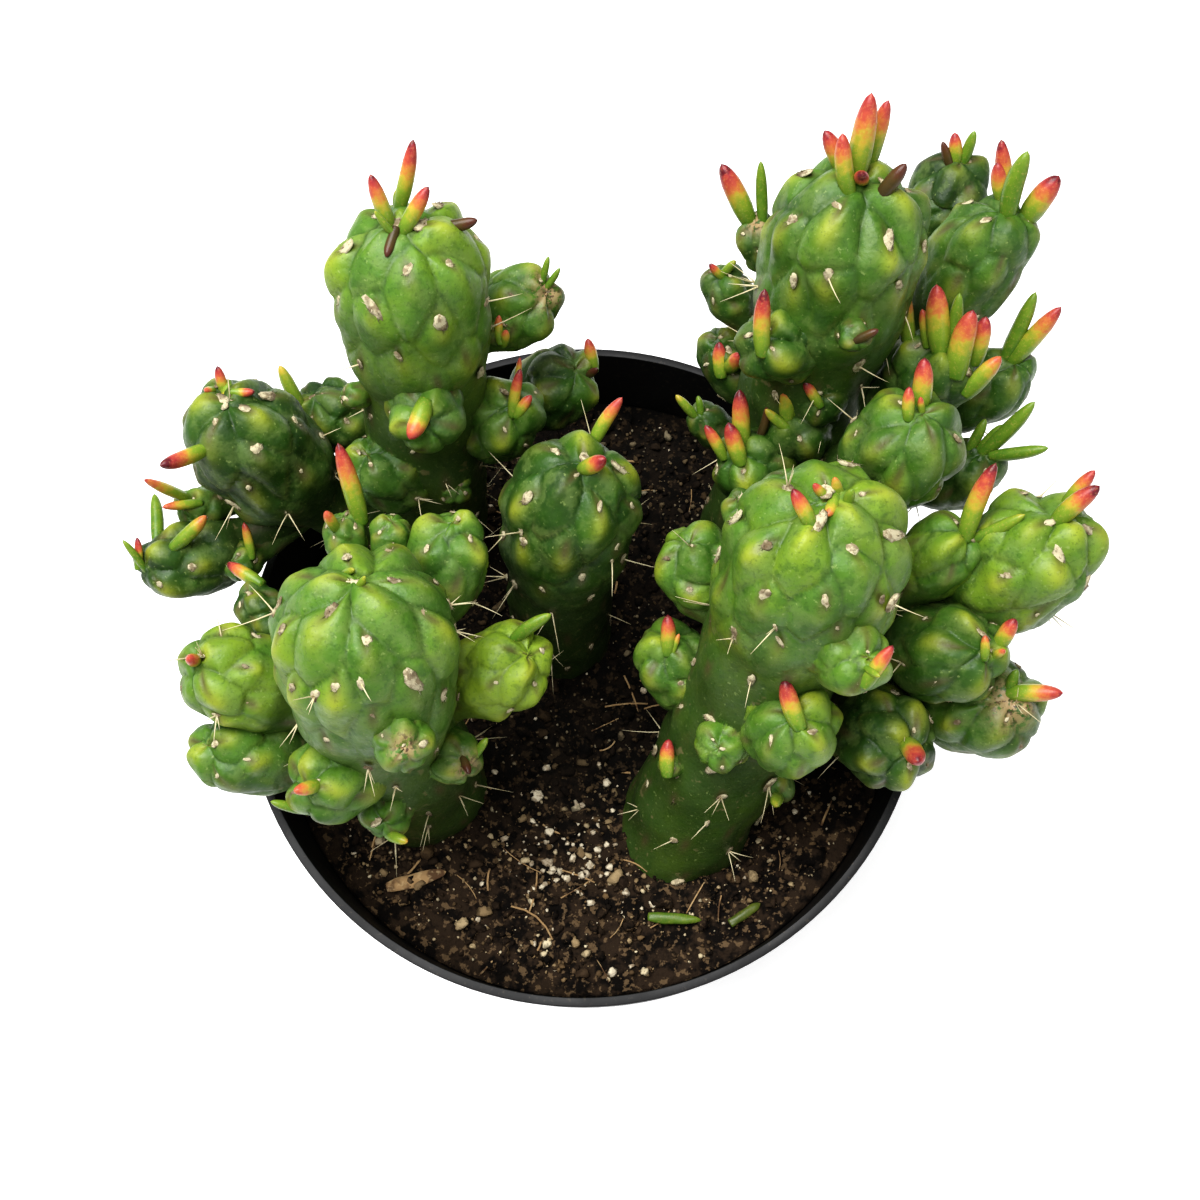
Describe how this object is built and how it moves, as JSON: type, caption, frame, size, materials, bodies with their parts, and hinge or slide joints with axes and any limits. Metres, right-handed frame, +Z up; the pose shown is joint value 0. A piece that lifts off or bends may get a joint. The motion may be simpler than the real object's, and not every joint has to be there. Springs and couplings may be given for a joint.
{
  "type": "potted gumbi prickly pear",
  "caption": "Potted knobbly prickly pear: clustered stubby green stems with swollen offsets and red-tipped awl leaves, in a round black nursery pot of soil.",
  "frame": {"origin": "centre of the pot's underside", "axes": "+Z up, the pot's axis; the picture looks down from -Y at an elevation of about 72 degrees, with +X to the right"},
  "size_m": [0.2114, 0.175, 0.2223],
  "materials": {
    "pot_plastic": "satin black moulded plastic",
    "potting_soil": "rough dark potting mix with white perlite grains",
    "cactus_skin": "waxy semi-gloss green skin",
    "leaf": "smooth fleshy leaf, green to red at the tip",
    "dry_plant": "dry straw, wool and spine"
  },
  "bodies": {
    "root": {"pot": "pot_plastic", "soil": "potting_soil", "stem_left_front": "cactus_skin", "stem_left_back": "cactus_skin", "stem_left_inner": "cactus_skin", "stem_right_front": "cactus_skin", "stem_right_back": "cactus_skin", "stem_right_outer": "cactus_skin", "dry_husk": "dry_plant", "fallen_leaf_green": "leaf", "fallen_leaf_dark": "leaf"}
  },
  "joints": []
}
